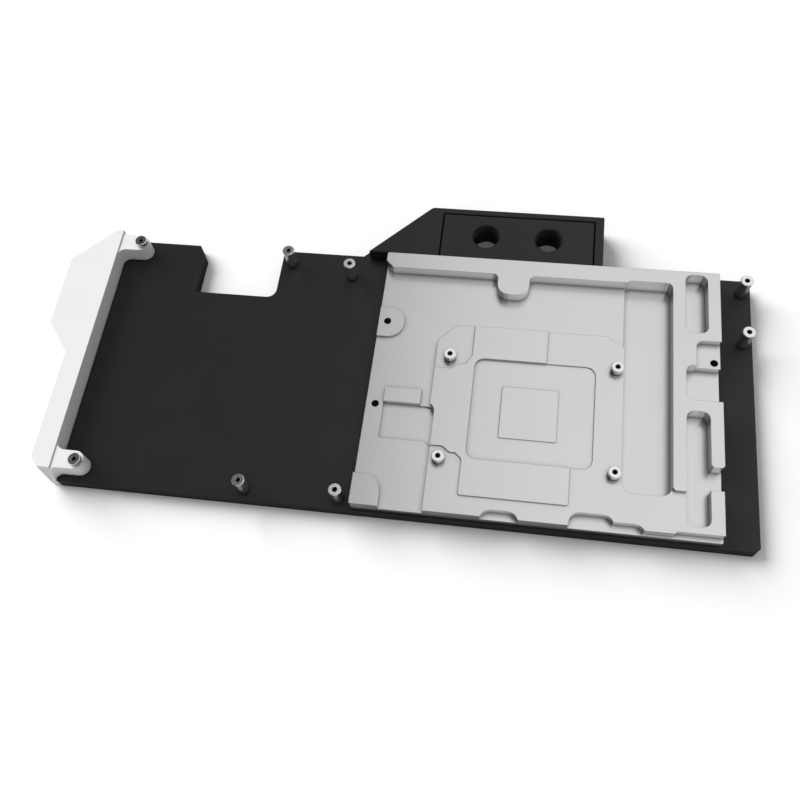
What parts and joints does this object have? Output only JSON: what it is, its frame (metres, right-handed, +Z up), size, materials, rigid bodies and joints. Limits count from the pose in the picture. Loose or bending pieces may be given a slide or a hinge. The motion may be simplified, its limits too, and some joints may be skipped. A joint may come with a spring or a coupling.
{
  "type": "graphics card water block",
  "caption": "Full-cover water block for a graphics card, contact side up: black body, stepped nickel cold plate, terminal with coolant ports, white end cover and standoffs.",
  "frame": {"origin": "on the outer (bottom) face, straight under the centre of the chip contact", "axes": "+X along the card towards its bracket end, +Y towards the coolant ports, +Z up, from the outer face to the card"},
  "size_m": [0.3059, 0.1475, 0.017],
  "materials": {
    "black_acetal": "satin black acetal, finely milled",
    "nickel_plate": "satin nickel plating over milled copper",
    "bright_steel": "bright nickel-plated standoffs, steel screws and jet plate",
    "white_cover": "smooth white",
    "seal_rubber": "black rubber"
  },
  "bodies": {
    "root": {"body_plate": "black_acetal", "cold_plate": "nickel_plate", "jet_plate": "bright_steel", "main_gasket": "seal_rubber", "port_seal_1": "seal_rubber", "port_seal_2": "seal_rubber", "terminal_block": "black_acetal", "terminal_shroud": "black_acetal", "end_cover": "white_cover", "short_standoff_1": "bright_steel", "short_standoff_2": "bright_steel", "short_standoff_3": "bright_steel", "short_standoff_4": "bright_steel", "tall_standoff_1": "bright_steel", "tall_standoff_2": "bright_steel", "tall_standoff_3": "bright_steel", "tall_standoff_4": "bright_steel", "tall_standoff_5": "bright_steel", "tall_standoff_6": "bright_steel", "cover_standoff_1": "bright_steel", "cover_standoff_2": "bright_steel", "plate_screw_1": "bright_steel", "plate_screw_2": "bright_steel", "plate_screw_3": "bright_steel", "plate_screw_4": "bright_steel", "plate_screw_5": "bright_steel", "plate_screw_6": "bright_steel", "plate_screw_7": "bright_steel", "plate_screw_8": "bright_steel", "plate_screw_9": "bright_steel", "plate_screw_10": "bright_steel", "plate_screw_11": "bright_steel", "plate_screw_12": "bright_steel", "plate_screw_13": "bright_steel", "terminal_screw_1": "bright_steel", "terminal_screw_2": "bright_steel", "terminal_screw_3": "bright_steel", "terminal_screw_4": "bright_steel", "shroud_screw_1": "bright_steel", "shroud_screw_2": "bright_steel", "cover_screw_1": "bright_steel", "cover_screw_2": "bright_steel"}
  },
  "joints": []
}
